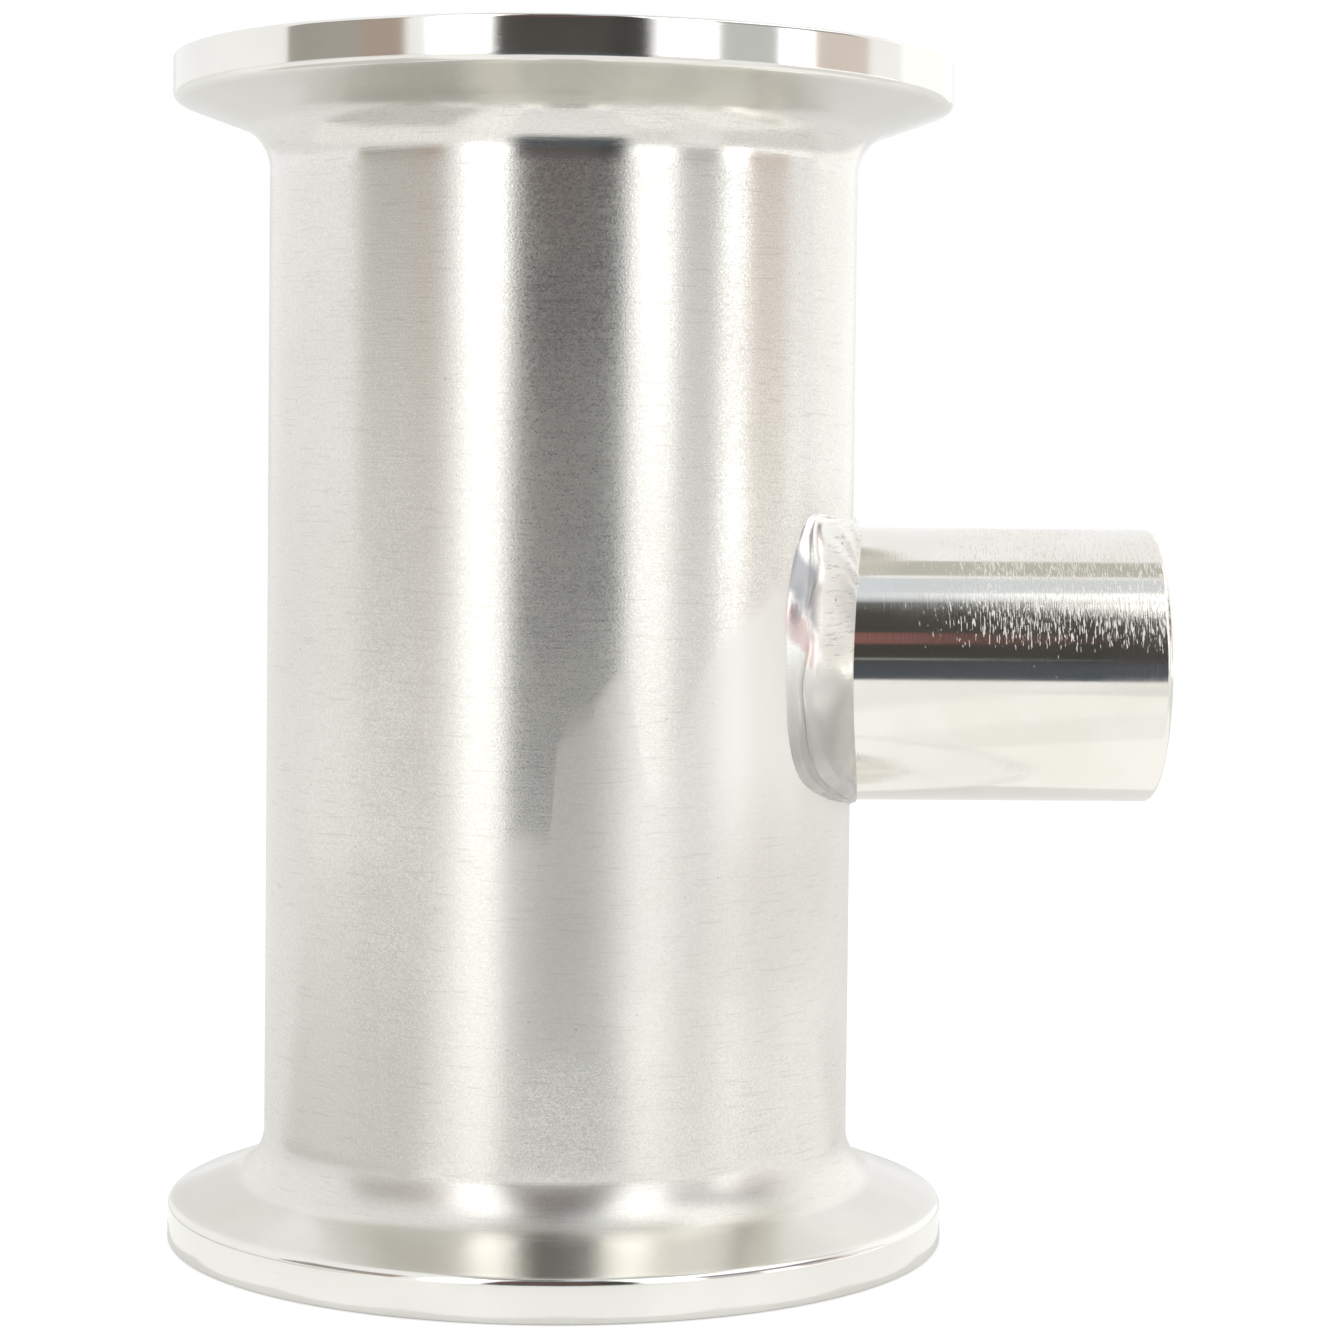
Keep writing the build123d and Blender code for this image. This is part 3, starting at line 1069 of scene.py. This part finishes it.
# Cards that stand behind the camera, and those at the sides and behind the spool: name, first
# and last azimuth, low and high edge, distance, and the colour or its stops by height
CAMERA_CARDS = (
    ("behind_camera", -20.5, 22, 0.0, 0.9, CARD_RADIUS, BEHIND_CAMERA),
    ("red_glimpse", -20, 11, 0.208, 0.300, 0.49, (0.30, 0.13, 0.12)),
    ("light_line", -20, 11.5, 0.091, 0.098, 0.485, (0.62, 0.64, 0.66)),
)
SIDE_CARDS = (
    ("left_warm", -60, -46, 0.066, 0.25, 0.49, (0.42, 0.335, 0.285)),
    ("left_grey", -85, -47, 0.076, 0.38, CARD_RADIUS, (0.38, 0.36, 0.32)),
    ("right_grey", 42, 60, 0.045, 0.2, CARD_RADIUS, (0.61, 0.62, 0.60)),
    ("right_pink", 71, 94, 0.048, 0.2, CARD_RADIUS, (0.74, 0.65, 0.59)),
    ("right_low", 68, 108, 0.0, 0.045, CARD_RADIUS, (1.5, 1.5, 1.46)),
    ("right_high", 42, 94, 0.2, 0.4, CARD_RADIUS, (0.30, 0.28, 0.31)),
    ("right_upper_gleam", 22, 112, 0.48, 1.0, CARD_RADIUS, (1.6, 1.6, 1.56)),
    ("right_behind", 110, 155, 0.0, 0.4, CARD_RADIUS, (1.18, 1.18, 1.16)),
    ("behind_spool", -178, -158, 0.03, 0.32, CARD_RADIUS, (0.86, 0.86, 0.84)),
)
# Flat cards overhead, that the boss's upper side reflects: name, left, right, front, back, colour
CEILING_CARDS = (
    ("ceiling_blue", 0.05, 0.9, -1.0, -0.22, (0.72, 0.76, 0.80)),
    ("ceiling_dark", -0.34, 0.05, -1.0, -0.22, (0.16, 0.16, 0.155)),
    ("ceiling_beige", -0.3, 0.9, -0.16, 0.19, (0.56, 0.56, 0.50)),
)


def bare_tree(material):
    """Empties a material's tree, and returns it and its output's surface socket."""
    material.use_nodes = True
    tree = material.node_tree
    tree.nodes.remove(tree.nodes["Principled BSDF"])
    return tree, tree.nodes["Material Output"].inputs["Surface"]


def card_material(name, colour):
    """A card that glows in one colour, or by height in (height, colour) stops."""
    stops = colour if isinstance(colour[0], tuple) else ((0.0, colour),)
    material = bpy.data.materials.new(name)
    tree, surface = bare_tree(material)
    share = over(split_vector(object_vector(tree))[2], CARD_TOP)
    ramp = node("ShaderNodeValToRGB", {0: share})
    ramp.color_ramp.interpolation = "EASE"
    elements = ramp.color_ramp.elements
    elements.remove(elements[1])
    for k, (level, shade) in enumerate(stops):
        element = elements[0] if k == 0 else elements.new(level / CARD_TOP)
        element.position = level / CARD_TOP
        element.color = (*shade, 1.0)
    light = node("ShaderNodeEmission", {"Color": ramp.outputs[0], "Strength": 1.0})
    tree.links.new(light.outputs[0], surface)
    return material


def stage_mesh(name, points, faces, material):
    """A stage object."""
    mesh = bpy.data.meshes.new(name)
    mesh.from_pydata(points, [], faces)
    mesh.materials.append(material)
    made = show(name, mesh)
    return made


def card(name, points, faces, colour):
    """A stage object that is seen only in reflections."""
    made = stage_mesh(name, points, faces, card_material(name, colour))
    made.visible_camera = False
    made.visible_diffuse = False
    made.visible_shadow = False


def round_card(name, start, end, inner, outer, colour):
    """A strip round the spool between two azimuths. inner and outer are (distance, height)."""
    points = []
    for turn in spread(math.radians(start), math.radians(end), CARD_STEPS):
        for distance, height in (inner, outer):
            points.append((distance * math.sin(turn), -distance * math.cos(turn), height))
    faces = [(2 * k, 2 * k + 2, 2 * k + 3, 2 * k + 1) for k in range(CARD_STEPS)]
    card(name, points, faces, colour)


def lying_card(name, start, end, near, far, colour):
    """A card that lies flat on the floor."""
    round_card(name, start, end, (near, CARD_LIFT), (far, CARD_LIFT), colour)


def standing_cards(rows):
    """Curved cards that stand round the spool."""
    for name, start, end, low, high, distance, colour in rows:
        round_card(name, start, end, (distance, low), (distance, high), colour)


def rectangle(left, right, front, back, height):
    """The corners of a level rectangle."""
    return [(left, front, height), (right, front, height), (right, back, height), (left, back, height)]


def floor():
    """A pale floor that stays white to the eye and keeps a soft shadow."""
    material = bpy.data.materials.new("studio_floor")
    tree, surface = bare_tree(material)
    matt = node("ShaderNodeBsdfDiffuse", {"Color": FLOOR_COLOUR}, tree).outputs[0]
    glow = node("ShaderNodeEmission", {"Color": WHITE, "Strength": FLOOR_GLOW}, tree).outputs[0]
    seen = node("ShaderNodeLightPath", tree=tree).outputs["Is Camera Ray"]
    share = times(seen, FLOOR_GLOW_SHARE)
    both = node("ShaderNodeMixShader", {0: share, 1: matt, 2: glow})
    tree.links.new(both.outputs[0], surface)
    half = FLOOR_SIZE / 2
    stage_mesh("studio_floor", rectangle(-half, half, -half, half, FLOOR_LEVEL), [(0, 1, 2, 3)], material)


def white_world():
    """White to the eye and in the metal, and a little softer as light."""
    world = bpy.data.worlds.new("studio_world")
    bpy.context.scene.world = world
    world.use_nodes = True
    tree = world.node_tree
    background = tree.nodes["Background"]
    background.inputs["Color"].default_value = WHITE
    rays = node("ShaderNodeLightPath", tree=tree).outputs
    seen = plus(rays["Is Camera Ray"], rays["Is Glossy Ray"])
    seen = calc("ADD", seen, rays["Is Transmission Ray"], clamp=True)
    tree.links.new(mix_value(seen, WORLD_AS_LIGHT, 1.0), background.inputs["Strength"])


def softbox(name, azimuth, height, width, tall, radiance):
    """A soft area lamp that faces the spool. Its radiance is what a mirror of it shows."""
    lamp = bpy.data.lights.new(name, "AREA")
    lamp.shape = "RECTANGLE"
    lamp.size = width
    lamp.size_y = tall
    lamp.energy = radiance * math.pi * width * tall
    made = show(name, lamp)
    turn = math.radians(azimuth)
    made.location = (LAMP_DISTANCE * math.sin(turn), -LAMP_DISTANCE * math.cos(turn), height)
    aim = Vector((0, 0, SPOOL_LENGTH / 2)) - made.location
    made.rotation_euler = aim.to_track_quat("-Z", "Y").to_euler()
    made.visible_camera = False


def build_studio():
    """Places the floor, the surround, the lamps and the cards."""
    floor()
    white_world()
    for row in SOFTBOXES:
        softbox(*row)
    for *row, level in FLOOR_CARDS:
        lying_card(*row, tuple(level * c for c in FLOOR_WHITE))
    standing_cards(CAMERA_CARDS)
    for name, *sides, colour in CEILING_CARDS:
        card(name, rectangle(*sides, CEILING_HEIGHT), [(0, 1, 2, 3)], colour)
    lying_card("behind_camera_foot", -20.5, 22, 0.215, CARD_RADIUS, BEHIND_CAMERA_DARK)
    standing_cards(SIDE_CARDS)
    lying_card("rim_gleam", -180, 180, 0.0262, 0.0345, (1.02, 1.02, 1.0))


# Camera: as the photograph was taken, slightly rolled
CAMERA_PLACE = Vector((-4.05, -218.99, 49.31)) * MM
CAMERA_YAW = math.radians(2.847)
CAMERA_PITCH = math.radians(-2.112)
CAMERA_ROLL = math.radians(0.610)
SENSOR_WIDTH = 36.0
FOCAL_PIXELS = 3348.3
PICTURE_PIXELS = 1330
PICTURE_LIFT = 60.0


def build_camera():
    """Aims the camera by yaw, pitch and roll."""
    ahead = Vector((
        math.sin(CAMERA_YAW) * math.cos(CAMERA_PITCH),
        math.cos(CAMERA_YAW) * math.cos(CAMERA_PITCH),
        math.sin(CAMERA_PITCH),
    ))
    level = Vector((math.cos(CAMERA_YAW), -math.sin(CAMERA_YAW), 0.0))
    upright = level.cross(ahead)
    right = math.cos(CAMERA_ROLL) * level + math.sin(CAMERA_ROLL) * upright
    up = math.cos(CAMERA_ROLL) * upright - math.sin(CAMERA_ROLL) * level
    camera = bpy.data.cameras.new("photo_camera")
    camera.sensor_width = SENSOR_WIDTH
    camera.lens = FOCAL_PIXELS / PICTURE_PIXELS * SENSOR_WIDTH
    camera.shift_y = -PICTURE_LIFT / PICTURE_PIXELS
    camera.clip_start = 0.01
    camera.clip_end = 20.0
    made = show("photo_camera", camera)
    made.matrix_world = Matrix.Translation(CAMERA_PLACE) @ Matrix((right, up, -ahead)).transposed().to_4x4()
    bpy.context.scene.camera = made


bpy.context.scene.view_settings.view_transform = "Standard"
build_spool()
build_studio()
build_camera()
